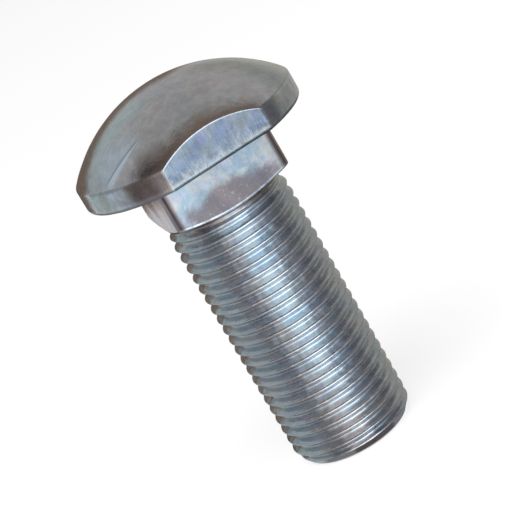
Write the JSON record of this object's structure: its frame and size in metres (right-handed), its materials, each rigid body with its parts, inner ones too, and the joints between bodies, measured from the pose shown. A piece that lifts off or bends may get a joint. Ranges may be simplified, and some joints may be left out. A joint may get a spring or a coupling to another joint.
{
  "type": "wheel bolt",
  "caption": "Wheel bolt with a domed head clipped flat on one side, a square neck and a fine-threaded shank with a chamfered end.",
  "frame": {"origin": "centre of the flat end face of the shank", "axes": "+Z along the bolt's axis from the shank's end to the head; the clipped flat of the head faces -Y"},
  "size_m": [0.029, 0.0273, 0.0511],
  "materials": {
    "zinc_plated_steel": "bright zinc plate over forged and rolled steel, blue-white, with a faint rainbow sheen"
  },
  "bodies": {
    "root": {"wheel_bolt": "zinc_plated_steel"}
  },
  "joints": []
}
